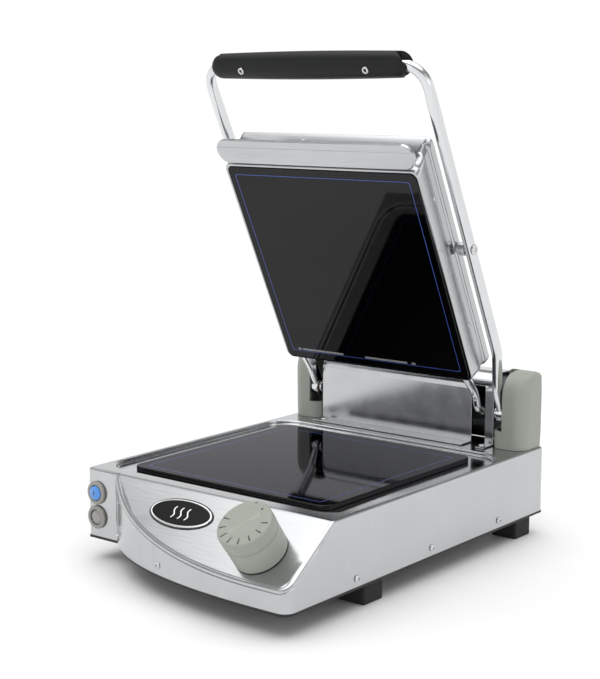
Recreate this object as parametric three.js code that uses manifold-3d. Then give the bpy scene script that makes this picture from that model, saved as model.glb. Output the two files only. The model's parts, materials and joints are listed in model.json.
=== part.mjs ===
// Contact grill (panini press) with glass plates: a sheet steel base, a lid carried by a bent
// tube arm, and the heaters, hinge parts and controls that make it work.
// Millimetres, +Z up, controls towards -Y, origin on the table under the middle of the outline.
// The lid is built closed, in a frame on the hinge axis, and then turned open.
import * as THREE from "three";
import { mergeVertices } from "three/addons/utils/BufferGeometryUtils.js";
import Module from "manifold-3d";

const wasm = await Module();
wasm.setup();

// Casing
const WIDTH = 331;
const DECK_DEPTH = 388;
const CONSOLE_BULGE = 70;
const CONSOLE_SLOPE = THREE.MathUtils.degToRad(36.5);
const CASING_HEIGHT = 73.5;
const FLOOR_PLATE = 2.9;
const FOOT_HEIGHT = 22;
const FOOT_SIZE = 32;
const FOOT_INSET = 6; // from the casing's side
const FOOT_FRONT = 72; // feet and screws are measured back from the casing's flat front
const FOOT_REAR = 356;
const SIDE_SCREWS = [36, 164, 293];
const SIDE_SCREW_DROP = 65;
const SHEET = 1.5;
const GAP = 0.3;
const GLAND_PROUD = 8;
const GLAND_X = -105;
const GLAND_DROP = 46;

// Knob
const KNOB_X = 110.5;
const KNOB_SLOPE = 50.5; // down the console from its top edge
const KNOB_RADIUS = 28;
const KNOB_HEIGHT = 41;
const KNOB_CHAMFER = 2;
const KNOB_CAP = 15; // height of the cap above the groove
// How far the knob stands in front of the casing's flat front.
const KNOB_LOW_EDGE = (KNOB_SLOPE + KNOB_RADIUS) * Math.cos(CONSOLE_SLOPE);
const KNOB_REACH = KNOB_LOW_EDGE + (KNOB_HEIGHT - KNOB_CHAMFER) * Math.sin(CONSOLE_SLOPE);

const FRONT_Y = KNOB_REACH - (KNOB_REACH + DECK_DEPTH + GLAND_PROUD) / 2; // flat front of the casing
const BACK_Y = FRONT_Y + DECK_DEPTH;
const CASING_Z = FOOT_HEIGHT + FLOOR_PLATE + 2 * GAP;
const DECK_Z = CASING_Z + CASING_HEIGHT;
const STRIP_X = -122; // where the bulging console starts

// Plates
const GLASS_SIZE = 262;
const GLASS_THICKNESS = 5;
const GLASS_CORNER = 13;
const LOWER_GLASS_PROUD = 0.8;
const GLASS_MIDDLE_Y = FRONT_Y + 163;
const TRAY_WIDTH = 314;
const TRAY_FRONT_Y = FRONT_Y + 18;
const TRAY_BACK_Y = FRONT_Y + 317;
const TRAY_CORNER = 30;
const TRAY_FLOOR = 4.5; // below the deck

// Hinge and lid, in the closed frame on the hinge axis: -Y forward, +Z up
const HINGE_Y = FRONT_Y + 356;
const HINGE_Z = DECK_Z + 38;
const LID_OPEN = THREE.MathUtils.degToRad(64);
const LID_GLASS_Z = -36;
const LID_WIDTH = 258;
const LID_BACK = -68;
const LID_FRONT = -345;
const LID_SLANT = 19.5; // the front face leans out towards the top by this much
const LID_TOP = 6.5;
const PIVOT_Y = -214.5;
const ARM_X = 143.5;
const ARM_ROOT_X = 130.5;
const ARM_FLAT = 8; // tube section across X
const ARM_DEEP = 14; // tube section along Z
const ARM_BEND = 26;
const GRIP_Y = -426;
const GRIP_LENGTH = 254;
const GRIP_HEIGHT = 30;
const GRIP_DEPTH = 27;
const GRIP_SCREW_X = 80;
const PIN_RADIUS = 4.5;
const EYE_RADIUS = 10;
const PIVOT_RADIUS = 4;
const LID_RIM_Z = LID_GLASS_Z + 1; // the lid casing's lower edge, just above the glass face
const LID_GLASS_HALF = 126;
const LID_GLASS_MIDDLE = -196;
const LIP_WIDTH = 28;
const LIP_THICKNESS = 5;
const LIP_Z = LID_GLASS_Z - 1;

// Back of the base: folded upright, lead conduit and hinge covers
const UPRIGHT_HALF = 121;
const UPRIGHT_HEIGHT = 62; // to where the top starts to roll
const UPRIGHT_ROLL = 20;
const UPRIGHT_FLANGE = 20;
const LEAD_X = 101;
const LEAD_RADIUS = 4.5;
const COVER_INNER = 122;
const COVER_OUTER = 163.5;
const COVER_FRONT = FRONT_Y + 344;
const COVER_HEIGHT = 85;
const COVER_WALL = 2;
const SLOT_X = 136; // the arm has the inner side of the cover up to here
const SLOT_SILL = 20; // height of the slot's bottom over the deck

// Heaters
const HEATER_SIZE = 236;
const PAN_DEPTH = 26;
const PAN_SKIN = 1.2;
const WOOL_DEPTH = 12;
const ELEMENT_THICKNESS = 4;
const ELEMENT_RUNS = 9;
const RIBBON = 6;

// Buttons and badge
const BUTTON_X = -150.5;
const BUTTON_DROP = 25.5;
const LAMP_DROP = 52;
const BEZEL_RADIUS = 12;
const BADGE_X = -6;
const BADGE_SLOPE = 30.5;

const steel = { color: 0xc4c6c8, roughness: 0.28, metalness: 1 };
const darkSteel = { color: 0x6c6f72, roughness: 0.45, metalness: 1 };
const black = { color: 0x111111, roughness: 0.5, metalness: 0 };
const rubber = { color: 0x1b1b1b, roughness: 0.9, metalness: 0 };
const glass = { color: 0x101012, roughness: 0.05, metalness: 0 };
const greyPlastic = { color: 0x8c9188, roughness: 0.55, metalness: 0 };
const brass = { color: 0xb5954a, roughness: 0.35, metalness: 1 };
const wool = { color: 0xd8d4c8, roughness: 0.95, metalness: 0 };
const bluePlastic = { color: 0x3a86d6, roughness: 0.25, metalness: 0 };

const machine = new THREE.Group();
const lid = new THREE.Group();
lid.position.set(0, HINGE_Y, HINGE_Z);
lid.rotation.x = -LID_OPEN;
machine.add(lid);
const consoleFace = new THREE.Group(); // X across, Y up the slope, Z out of the face
consoleFace.position.set(0, FRONT_Y, DECK_Z);
consoleFace.rotation.x = CONSOLE_SLOPE;
machine.add(consoleFace);

// ---------------------------------------------------------------- helpers

function solid(geometry) {
  const g = geometry.clone();
  g.deleteAttribute("normal");
  g.deleteAttribute("uv");
  const merged = mergeVertices(g, 1e-4);
  return new wasm.Manifold(
    new wasm.Mesh({
      numProp: 3,
      vertProperties: new Float32Array(merged.attributes.position.array),
      triVerts: new Uint32Array(merged.index.array),
    }),
  );
}

function geometryOf(body) {
  const mesh = body.getMesh();
  const g = new THREE.BufferGeometry();
  g.setAttribute("position", new THREE.BufferAttribute(mesh.vertProperties, 3));
  g.setIndex(new THREE.BufferAttribute(mesh.triVerts, 1));
  g.computeVertexNormals();
  return g;
}

function cut(body, ...tools) {
  return geometryOf(tools.reduce((left, tool) => left.subtract(solid(tool)), solid(body)));
}

function join(...parts) {
  return geometryOf(parts.map(solid).reduce((left, right) => left.add(right)));
}

function add(name, geometry, look, parent = machine) {
  const mesh = new THREE.Mesh(geometry, new THREE.MeshStandardMaterial(look));
  mesh.name = name;
  parent.add(mesh);
  return mesh;
}

// A box from its lowest to its highest corner.
function block(x0, y0, z0, x1, y1, z1) {
  const g = new THREE.BoxGeometry(x1 - x0, y1 - y0, z1 - z0);
  return g.translate((x0 + x1) / 2, (y0 + y1) / 2, (z0 + z1) / 2);
}

// A plan outline raised from z0 to z1.
function raise(shape, z0, z1, curveSegments = 8) {
  const g = new THREE.ExtrudeGeometry(shape, { depth: z1 - z0, bevelEnabled: false, curveSegments });
  return g.translate(0, 0, z0);
}

// A side profile, drawn as (y, z), carried along X from x0 to x1.
function runAlongX(profile, x0, x1, curveSegments = 8) {
  const g = new THREE.ExtrudeGeometry(profile, { depth: x1 - x0, bevelEnabled: false, curveSegments });
  return g.applyMatrix4(new THREE.Matrix4().set(0, 0, 1, x0, 1, 0, 0, 0, 0, 1, 0, 0, 0, 0, 0, 1));
}

// A rod along X.
function rodX(radius, x0, x1, y = 0, z = 0, sides = 24) {
  const g = new THREE.CylinderGeometry(radius, radius, x1 - x0, sides).rotateZ(-Math.PI / 2);
  return g.translate((x0 + x1) / 2, y, z);
}

// A rod along Y.
function rodY(radius, y0, y1, x = 0, z = 0, sides = 24) {
  return new THREE.CylinderGeometry(radius, radius, y1 - y0, sides).translate(x, (y0 + y1) / 2, z);
}

// A rod along Z.
function rodZ(radius, z0, z1, x = 0, y = 0, sides = 24) {
  const g = new THREE.CylinderGeometry(radius, radius, z1 - z0, sides).rotateX(Math.PI / 2);
  return g.translate(x, y, (z0 + z1) / 2);
}

function polygon(points) {
  return new THREE.Shape(points.map(([x, y]) => new THREE.Vector2(x, y)));
}

function roundedRect(x0, y0, x1, y1, r) {
  const s = new THREE.Shape();
  s.moveTo(x0 + r, y0);
  s.lineTo(x1 - r, y0);
  s.absarc(x1 - r, y0 + r, r, -Math.PI / 2, 0, false);
  s.lineTo(x1, y1 - r);
  s.absarc(x1 - r, y1 - r, r, 0, Math.PI / 2, false);
  s.lineTo(x0 + r, y1);
  s.absarc(x0 + r, y1 - r, r, Math.PI / 2, Math.PI, false);
  s.lineTo(x0, y0 + r);
  s.absarc(x0 + r, y0 + r, r, Math.PI, 1.5 * Math.PI, false);
  return s;
}

// A domed screw head on its washer, out along +Z.
function screwHead(radius, height) {
  const points = [
    [0, 0],
    [radius, 0],
    [radius, 0.35 * height],
    [0.6 * radius, 0.9 * height],
    [0, height],
  ];
  const profile = points.map(([r, z]) => new THREE.Vector2(r, z));
  return new THREE.LatheGeometry(profile, 16).rotateX(Math.PI / 2);
}

// ---------------------------------------------------------------- base

// The casing in plan: a rectangle whose front swells into a bowed console.
function casingPlan(inset) {
  const side = WIDTH / 2 - inset;
  const front = FRONT_Y - CONSOLE_BULGE + inset;
  const corner = 12;
  const s = new THREE.Shape();
  s.moveTo(-side, BACK_Y - inset);
  s.lineTo(-side, FRONT_Y + inset);
  s.lineTo(STRIP_X + inset, FRONT_Y + inset);
  s.bezierCurveTo(-65 + inset, FRONT_Y - 56 + inset, 40, front, 125, front);
  s.lineTo(side - corner, front);
  s.absarc(side - corner, front + corner, corner, -Math.PI / 2, 0, false);
  s.lineTo(side, BACK_Y - inset);
  return s;
}

// Everything above the sloping console face, moved inwards by inset.
function aboveConsole(inset) {
  const reach = 120;
  const top = DECK_Z - inset / Math.cos(CONSOLE_SLOPE);
  const clear = 40;
  const profile = polygon([
    [FRONT_Y + clear, top + clear * Math.tan(CONSOLE_SLOPE)],
    [FRONT_Y - reach, top - reach * Math.tan(CONSOLE_SLOPE)],
    [FRONT_Y - reach, DECK_Z + reach],
    [FRONT_Y + clear, DECK_Z + reach],
  ]);
  return runAlongX(profile, -WIDTH, WIDTH);
}

// A hole through the console face, square to it.
function consoleHole(radius, x, slope, depth) {
  const g = rodZ(radius, -depth, depth, x, -slope);
  return g.applyMatrix4(new THREE.Matrix4().makeRotationX(CONSOLE_SLOPE)).translate(0, FRONT_Y, DECK_Z);
}

function baseShell() {
  const outer = cut(raise(casingPlan(0), CASING_Z, DECK_Z, 16), aboveConsole(0));
  const inner = cut(raise(casingPlan(SHEET), CASING_Z - 1, DECK_Z - SHEET, 16), aboveConsole(SHEET));
  const trayHole = raise(trayPlan(0), DECK_Z - 2 * SHEET, DECK_Z + 1);
  const frontHoles = [BUTTON_DROP, LAMP_DROP].map((drop) =>
    rodY(BEZEL_RADIUS - 2, FRONT_Y - 1, FRONT_Y + 2 * SHEET, BUTTON_X, DECK_Z - drop),
  );
  const shaftHole = consoleHole(5, KNOB_X, KNOB_SLOPE, 6);
  const glandHole = rodY(9, BACK_Y - 3 * SHEET, BACK_Y + 1, GLAND_X, GLAND_Z);
  return cut(outer, inner, trayHole, ...frontHoles, shaftHole, glandHole);
}

function trayPlan(grow) {
  const half = TRAY_WIDTH / 2 + grow;
  return roundedRect(-half, TRAY_FRONT_Y - grow, half, TRAY_BACK_Y + grow, TRAY_CORNER + grow);
}

function floorPlate() {
  return raise(casingPlan(1), FOOT_HEIGHT + GAP, FOOT_HEIGHT + GAP + FLOOR_PLATE, 16);
}

function foot(x, y) {
  const h = FOOT_SIZE / 2;
  return raise(roundedRect(x - h, y - h, x + h, y + h, 3), 0, FOOT_HEIGHT, 3);
}

// The pressed tray that the lower glass lies in, hung under the deck by its rim.
function gutterTray() {
  const rim = raise(trayPlan(3), DECK_Z - TRAY_FLOOR - SHEET, DECK_Z - SHEET - GAP);
  const hollow = raise(trayPlan(-SHEET), DECK_Z - TRAY_FLOOR, DECK_Z);
  const half = HEATER_SIZE / 2;
  const window = block(-half, GLASS_MIDDLE_Y - half, 0, half, GLASS_MIDDLE_Y + half, DECK_Z);
  return cut(rim, hollow, window);
}

function glassPlate(z0, middleY) {
  const h = GLASS_SIZE / 2;
  return raise(roundedRect(-h, middleY - h, h, middleY + h, GLASS_CORNER), z0, z0 + GLASS_THICKNESS);
}

// ---------------------------------------------------------------- heaters

// A pan open towards the glass, from its open face at z downwards (down = -1) or upwards (+1).
function heaterPan(middleY, z, down) {
  const h = HEATER_SIZE / 2 - 1;
  const [z0, z1] = [z, z + down * PAN_DEPTH].sort((a, b) => a - b);
  const [c0, c1] = down < 0 ? [z0 + PAN_SKIN, z1 + 1] : [z0 - 1, z1 - PAN_SKIN];
  const inside = h - PAN_SKIN;
  const outer = block(-h, middleY - h, z0, h, middleY + h, z1);
  return cut(outer, block(-inside, middleY - inside, c0, inside, middleY + inside, c1));
}

function insulationBoard(middleY, z, down) {
  const h = HEATER_SIZE / 2 - 3;
  const bottom = z + down * (PAN_DEPTH - PAN_SKIN - GAP);
  const [z0, z1] = [bottom, bottom - down * WOOL_DEPTH].sort((a, b) => a - b);
  return block(-h, middleY - h, z0, h, middleY + h, z1);
}

// A flat heating ribbon laid back and forth across the board.
function heatingElement(middleY, z, down) {
  const half = HEATER_SIZE / 2 - 14;
  const pitch = (2 * half) / (ELEMENT_RUNS - 1);
  const base = z + down * (PAN_DEPTH - PAN_SKIN - 2 * GAP - WOOL_DEPTH);
  const [z0, z1] = [base, base - down * ELEMENT_THICKNESS].sort((a, b) => a - b);
  const pieces = [];
  for (let i = 0; i < ELEMENT_RUNS; i++) {
    const y = middleY - half + i * pitch;
    pieces.push(block(-half, y - RIBBON / 2, z0, half, y + RIBBON / 2, z1));
    if (i < ELEMENT_RUNS - 1) {
      const x = i % 2 ? -half : half - RIBBON;
      pieces.push(block(x, y - RIBBON / 2, z0, x + RIBBON, y + pitch + RIBBON / 2, z1));
    }
  }
  return join(...pieces);
}

function heaterRail(side) {
  const x = side * 80;
  const top = DECK_Z - TRAY_FLOOR - SHEET - GAP - PAN_DEPTH - GAP;
  const outer = block(x - 10, GLASS_MIDDLE_Y - 105, CASING_Z, x + 10, GLASS_MIDDLE_Y + 105, top);
  return cut(outer, block(x - 8, GLASS_MIDDLE_Y - 106, CASING_Z - 1, x + 8, GLASS_MIDDLE_Y + 106, top - 2));
}

// ---------------------------------------------------------------- inside and at the back

const GLAND_Z = DECK_Z - GLAND_DROP;

function cableGland() {
  const body = rodY(8.5, BACK_Y - 12, BACK_Y + GAP + 0.5, GLAND_X, GLAND_Z);
  const flange = rodY(13, BACK_Y + GAP, BACK_Y + 4, GLAND_X, GLAND_Z, 6);
  const cap = rodY(11, BACK_Y + 3.5, BACK_Y + GLAND_PROUD, GLAND_X, GLAND_Z);
  const bore = rodY(4.5, BACK_Y - 13, BACK_Y + GLAND_PROUD + 1, GLAND_X, GLAND_Z);
  return cut(join(body, flange, cap), bore);
}

function terminalBlock() {
  const y = BACK_Y - 45;
  const body = block(-140, y - 11, CASING_Z, -80, y + 11, CASING_Z + 20);
  const wells = [-130, -120, -110, -100, -90].map((x) => rodZ(3, CASING_Z + 8, CASING_Z + 21, x, y, 12));
  return cut(body, ...wells);
}

// Folded sheet between the hinge covers: foot flange, front wall, rolled top and back wall.
function rearUpright() {
  const front = FRONT_Y + 351;
  const wallTop = DECK_Z + UPRIGHT_HEIGHT;
  const back = BACK_Y - 1;
  const z0 = DECK_Z + GAP;
  const profile = (t) => {
    const s = new THREE.Shape();
    s.moveTo(front + t, z0 - t);
    s.lineTo(front + t, wallTop);
    s.absarc(front + UPRIGHT_ROLL, wallTop, UPRIGHT_ROLL - t, Math.PI, Math.PI / 2, true);
    s.lineTo(back - t, wallTop + UPRIGHT_ROLL - t);
    s.lineTo(back - t, z0 - t);
    return s;
  };
  const half = UPRIGHT_HALF;
  const body = cut(runAlongX(profile(0), -half, half), runAlongX(profile(SHEET), -half - 1, half + 1));
  const flange = block(-half, front - UPRIGHT_FLANGE, z0, half, front + 1, z0 + SHEET);
  const slotHalf = 2 * LEAD_RADIUS;
  const [slotFront, slotBack] = [front - UPRIGHT_FLANGE - 1, front + UPRIGHT_ROLL];
  const leadSlot = block(LEAD_X - slotHalf, slotFront, DECK_Z - 1, LEAD_X + slotHalf, slotBack, wallTop + 5);
  return cut(join(body, flange), leadSlot);
}

// A hinge cover's outer body, drawn inwards by inset.
function coverBody(inset) {
  const r = 14 - inset;
  const x0 = COVER_INNER + inset;
  const x1 = COVER_OUTER - inset;
  const plan = new THREE.Shape();
  const y0 = COVER_FRONT + inset;
  const y1 = BACK_Y - inset;
  plan.moveTo(x0, y1);
  plan.lineTo(x0, y0 + r);
  plan.absarc(x0 + r, y0 + r, r, Math.PI, 1.5 * Math.PI, false);
  plan.lineTo(x1 - r, y0);
  plan.absarc(x1 - r, y0 + r, r, -Math.PI / 2, 0, false);
  plan.lineTo(x1, y1 - 8);
  plan.absarc(x1 - 8, y1 - 8, 8, 0, Math.PI / 2, false);
  const top = DECK_Z + COVER_HEIGHT - inset;
  const round = 26;
  const side = new THREE.Shape();
  side.moveTo(y0 - 1, DECK_Z + GAP - 2 * inset);
  side.lineTo(y0, top - round);
  side.absarc(y0 + round, top - round, round, Math.PI, Math.PI / 2, true);
  side.lineTo(y1 - 6, top);
  side.absarc(y1 - 6, top - 6, 6, Math.PI / 2, 0, true);
  side.lineTo(y1, DECK_Z + GAP - 2 * inset);
  const column = solid(raise(plan, DECK_Z + GAP - 2 * inset, top, 6));
  return geometryOf(column.intersect(solid(runAlongX(side, x0 - 1, x1 + 1, 6))));
}

function hingeCover() {
  const sill = DECK_Z + SLOT_SILL;
  const slot = block(COVER_INNER - 1, COVER_FRONT - 1, sill, SLOT_X, BACK_Y - 6, DECK_Z + COVER_HEIGHT + 1);
  return cut(coverBody(0), coverBody(COVER_WALL), slot);
}

// An angle bracket outboard of the arm, with the fixed hinge pin in it.
function hingeBracket() {
  const y0 = HINGE_Y - 5;
  const y1 = BACK_Y - 4;
  const plate = block(138, y0, DECK_Z + GAP, 142, y1, HINGE_Z + 20);
  const sole = block(138, y0, DECK_Z + GAP, 152, y1, DECK_Z + GAP + 4);
  const eye = rodX(EYE_RADIUS - 1, 138, 142, HINGE_Y, HINGE_Z);
  return cut(join(plate, sole, eye), rodX(PIN_RADIUS + 0.15, 130, 150, HINGE_Y, HINGE_Z));
}

function hingePin() {
  return join(
    rodX(PIN_RADIUS, ARM_ROOT_X - 6, 153, HINGE_Y, HINGE_Z),
    rodX(PIN_RADIUS + 2.5, ARM_ROOT_X - 8, ARM_ROOT_X - 5.5, HINGE_Y, HINGE_Z),
  );
}

class Helix extends THREE.Curve {
  constructor(radius, pitch, turns) {
    super();
    Object.assign(this, { radius, pitch, turns });
  }
  getPoint(t, target = new THREE.Vector3()) {
    const a = 2 * Math.PI * this.turns * t;
    return target.set(this.pitch * this.turns * t, this.radius * Math.cos(a), this.radius * Math.sin(a));
  }
}

function circleShape(radius, sides) {
  const points = [];
  for (let i = 0; i < sides; i++) {
    const a = (2 * Math.PI * i) / sides;
    points.push([radius * Math.cos(a), radius * Math.sin(a)]);
  }
  return polygon(points);
}

// Counterbalance spring wound round the pin outboard of the bracket.
function torsionSpring() {
  const wire = 1.1;
  const g = new THREE.ExtrudeGeometry(circleShape(wire, 5), {
    steps: 40,
    bevelEnabled: false,
    extrudePath: new Helix(PIN_RADIUS + 2, 2.6, 3.5),
  });
  return g.translate(143.6, HINGE_Y, HINGE_Z);
}

function mirrorX(geometry) {
  const g = geometry.clone().applyMatrix4(new THREE.Matrix4().makeScale(-1, 1, 1));
  const index = g.index ? g.index.array : null;
  if (index) {
    for (let i = 0; i < index.length; i += 3) [index[i + 1], index[i + 2]] = [index[i + 2], index[i + 1]];
    return g;
  }
  const p = g.attributes.position.array;
  for (let i = 0; i < p.length; i += 9)
    for (let k = 0; k < 3; k++) [p[i + 3 + k], p[i + 6 + k]] = [p[i + 6 + k], p[i + 3 + k]];
  return g;
}

function addPair(name, geometry, look, parent = machine) {
  add(name + "_right", geometry, look, parent);
  add(name + "_left", mirrorX(geometry), look, parent);
}

// ---------------------------------------------------------------- controls

function bezel() {
  const ring = rodZ(BEZEL_RADIUS, GAP, 2.2, 0, 0, 24);
  const barrel = rodZ(BEZEL_RADIUS - 2.4, -10, GAP + 0.5, 0, 0, 24);
  return cut(join(ring, barrel), rodZ(BEZEL_RADIUS - 3.9, -11, 4, 0, 0, 24));
}

function buttonCap(top) {
  const r = BEZEL_RADIUS - 4.3;
  const profile = [
    [0, -7],
    [r, -7],
    [r, top - 1.2],
    [r - 1.2, top],
    [0, top],
  ].map(([x, y]) => new THREE.Vector2(x, y));
  return new THREE.LatheGeometry(profile, 24).rotateX(Math.PI / 2);
}

function onFlatFront(mesh, drop) {
  mesh.position.set(BUTTON_X, FRONT_Y, DECK_Z - drop);
  mesh.rotation.x = Math.PI / 2;
}

function ovalShape(a, b) {
  const s = new THREE.Shape();
  s.absellipse(BADGE_X, -BADGE_SLOPE, a, b, 0, 2 * Math.PI, false, 0);
  return s;
}

function knobBody() {
  const skirt = [
    [0, KNOB_HEIGHT],
    [KNOB_RADIUS - KNOB_CHAMFER, KNOB_HEIGHT],
    [KNOB_RADIUS, KNOB_HEIGHT - KNOB_CHAMFER],
    [KNOB_RADIUS, KNOB_HEIGHT - KNOB_CAP + 1],
    [KNOB_RADIUS - 1, KNOB_HEIGHT - KNOB_CAP],
    [KNOB_RADIUS - 0.5, KNOB_HEIGHT - KNOB_CAP - 1],
    [KNOB_RADIUS - 1, 1],
    [KNOB_RADIUS - 4, 1],
    [KNOB_RADIUS - 4, 26],
    [7, 26],
    [7, 4],
    [3.4, 4],
    [3.4, 34],
    [0, 34],
  ].map(([r, z]) => new THREE.Vector2(r, z));
  const turned = new THREE.LatheGeometry(skirt.reverse(), 32).rotateX(Math.PI / 2);
  return turned.translate(KNOB_X, -KNOB_SLOPE, 0);
}

// ---------------------------------------------------------------- arm

// A polyline whose every point is one step of a sweep along it.
class Polyline extends THREE.Curve {
  constructor(points) {
    super();
    this.points = points;
  }
  getPoint(t, target = new THREE.Vector3()) {
    const last = this.points.length - 1;
    const i = Math.min(Math.floor(t * last), last - 1);
    return target.lerpVectors(this.points[i], this.points[i + 1], t * last - i);
  }
  getSpacedPoints() {
    return this.points;
  }
  getTangentAt(t, target = new THREE.Vector3()) {
    const i = Math.round(t * (this.points.length - 1));
    const before = this.points[Math.max(i - 1, 0)];
    const here = this.points[i];
    const after = this.points[Math.min(i + 1, this.points.length - 1)];
    const arriving = here.clone().sub(before).normalize();
    const leaving = after.clone().sub(here).normalize();
    return target.copy(arriving).add(leaving).normalize();
  }
}

// Half of the arm's line, from a hinge eye to the middle of the grip.
function armLine(side) {
  const steps = 6;
  const points = [
    [ARM_ROOT_X, 0],
    [ARM_ROOT_X, -30],
    [ARM_X, -84],
  ];
  for (let i = 0; i <= steps; i++) {
    const a = (i / steps) * (Math.PI / 2);
    points.push([ARM_X - ARM_BEND * (1 - Math.cos(a)), GRIP_Y + ARM_BEND * (1 - Math.sin(a))]);
  }
  points.push([0, GRIP_Y]);
  return points.map(([x, y]) => new THREE.Vector3(side * x, y, 0));
}

function ovalSection(across, deep) {
  const r = across / 2;
  const run = deep / 2 - r;
  const s = new THREE.Shape();
  s.absarc(run, 0, r, -Math.PI / 2, Math.PI / 2, false);
  s.absarc(-run, 0, r, Math.PI / 2, 1.5 * Math.PI, false);
  return s;
}

// Both halves of the bent tube, with its section grown all round by grow.
function armSweep(grow) {
  const halves = [1, -1].map((side) => {
    const line = armLine(side);
    const g = new THREE.ExtrudeGeometry(ovalSection(ARM_FLAT + 2 * grow, ARM_DEEP + 2 * grow), {
      steps: line.length - 1,
      bevelEnabled: false,
      curveSegments: 5,
      extrudePath: new Polyline(line),
    });
    return solid(g);
  });
  return halves[0].add(halves[1]);
}

function armTube() {
  const fittings = [1, -1].flatMap((side) => {
    const root = side * ARM_ROOT_X;
    const x = side * ARM_X;
    return [
      { tool: rodX(EYE_RADIUS, root - ARM_FLAT / 2, root + ARM_FLAT / 2), joined: true },
      { tool: rodX(PIN_RADIUS + 2, root - ARM_FLAT, root + ARM_FLAT) },
      { tool: rodX(PIVOT_RADIUS + GAP, x - ARM_FLAT, x + ARM_FLAT, PIVOT_Y, 0) },
    ];
  });
  let body = armSweep(0);
  for (const { tool, joined } of fittings) {
    body = joined ? body.add(solid(tool)) : body.subtract(solid(tool));
  }
  return geometryOf(body);
}

function hingeBush() {
  const x0 = ARM_ROOT_X - ARM_FLAT / 2 - 0.5;
  const x1 = ARM_ROOT_X + ARM_FLAT / 2 + 0.5;
  return cut(rodX(PIN_RADIUS + 1.7, x0, x1), rodX(PIN_RADIUS + 0.15, x0 - 1, x1 + 1));
}

// One half of the grip, split by the plane of the arm: face = -1 towards the plates, +1 away.
function gripHalf(face) {
  const half = GRIP_LENGTH / 2;
  const section = new THREE.Shape();
  section.absellipse(0, 0, GRIP_HEIGHT / 2, GRIP_DEPTH / 2, 0, 2 * Math.PI, false, 0);
  const bar = runAlongX(section, -half, half, 10).translate(0, GRIP_Y, 0);
  const keep = block(-half - 1, GRIP_Y - 20, GAP / 2, half + 1, GRIP_Y + 20, 20);
  const mine = face > 0 ? keep : keep.rotateX(Math.PI).translate(0, 2 * GRIP_Y, 0);
  const halfBar = solid(bar).intersect(solid(mine)).subtract(armSweep(GAP));
  if (face > 0) return geometryOf(halfBar);
  const wells = [-1, 1].map((side) => rodZ(5, -20, -9, side * GRIP_SCREW_X, GRIP_Y, 16));
  return cut(geometryOf(halfBar), ...wells);
}

// Conduit that carries the lid's heater leads from the hinge line to the lid's back wall.
function leadConduit() {
  const c = Math.cos(LID_OPEN);
  const s = Math.sin(LID_OPEN);
  const closed = (y, z) => new THREE.Vector3(LEAD_X, y * c - z * s, y * s + z * c);
  const open = [
    [3, -2],
    [-6, 4],
    [-10, 15],
    [-16, 26],
  ];
  const points = open.map(([y, z]) => closed(y, z));
  for (const y of [LID_BACK + 12, LID_BACK + 2.5]) points.push(new THREE.Vector3(LEAD_X, y, -12));
  return new THREE.ExtrudeGeometry(circleShape(LEAD_RADIUS, 8), {
    steps: 14,
    bevelEnabled: false,
    extrudePath: new THREE.CatmullRomCurve3(points),
  });
}

// ---------------------------------------------------------------- lid

function lidShell() {
  const half = LID_WIDTH / 2;
  const profile = (t) =>
    polygon([
      [LID_BACK - t, LID_RIM_Z - (t ? 1 : 0)],
      [LID_BACK - t, LID_TOP - 6 - t],
      [LID_BACK - 6 - t / 2, LID_TOP - t],
      [LID_FRONT + t, LID_TOP - t],
      [LID_FRONT + LID_SLANT + t, LID_RIM_Z - (t ? 1 : 0)],
    ]);
  const outer = runAlongX(profile(0), -half, half);
  const inner = runAlongX(profile(SHEET), SHEET - half, half - SHEET);
  const pivotHole = rodX(PIVOT_RADIUS + GAP, -half - 1, half + 1, PIVOT_Y, 0);
  return cut(outer, inner, pivotHole);
}

function upperGlass() {
  const h = LID_GLASS_HALF;
  const y = LID_GLASS_MIDDLE;
  return raise(roundedRect(-h, y - h, h, y + h, 8), LID_GLASS_Z, LID_GLASS_Z + GLASS_THICKNESS);
}

// The flat bar with round ends along the lid's front edge.
function frontLip() {
  const half = LID_WIDTH / 2 + 2;
  const back = LID_FRONT + LID_SLANT - 1.5;
  const outline = roundedRect(-half, back - LIP_WIDTH, half, back, LIP_WIDTH / 2 - 0.1);
  return raise(outline, LIP_Z, LIP_Z + LIP_THICKNESS);
}

function pivotBolt() {
  const x = ARM_X + ARM_FLAT / 2;
  const shank = rodX(PIVOT_RADIUS, LID_WIDTH / 2 - 8, x + 1, PIVOT_Y, 0);
  const head = rodX(7, x + GAP, x + 5, PIVOT_Y, 0, 6);
  const spacer = rodX(7, LID_WIDTH / 2 + 1, ARM_X - ARM_FLAT / 2 - 1, PIVOT_Y, 0, 20);
  return join(shank, head, spacer);
}

// ---------------------------------------------------------------- the assembly

const panTop = DECK_Z - TRAY_FLOOR - SHEET - GAP;
const footX = WIDTH / 2 - FOOT_INSET - FOOT_SIZE / 2;
const sides = [[1, "right"], [-1, "left"]];

add("base_shell", baseShell(), steel);
add("floor_plate", floorPlate(), black);
add("gutter_tray", gutterTray(), steel);
add("lower_glass", glassPlate(DECK_Z + LOWER_GLASS_PROUD - GLASS_THICKNESS, GLASS_MIDDLE_Y), glass);
add("lower_heater_pan", heaterPan(GLASS_MIDDLE_Y, panTop, -1), darkSteel);
add("lower_insulation", insulationBoard(GLASS_MIDDLE_Y, panTop, -1), wool);
add("lower_element", heatingElement(GLASS_MIDDLE_Y, panTop, -1), darkSteel);
addPair("heater_rail", heaterRail(1), darkSteel);
for (const [end, y] of [["front", FOOT_FRONT], ["rear", FOOT_REAR]])
  for (const [side, word] of sides) add(`foot_${end}_${word}`, foot(side * footX, FRONT_Y + y), rubber);

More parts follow.
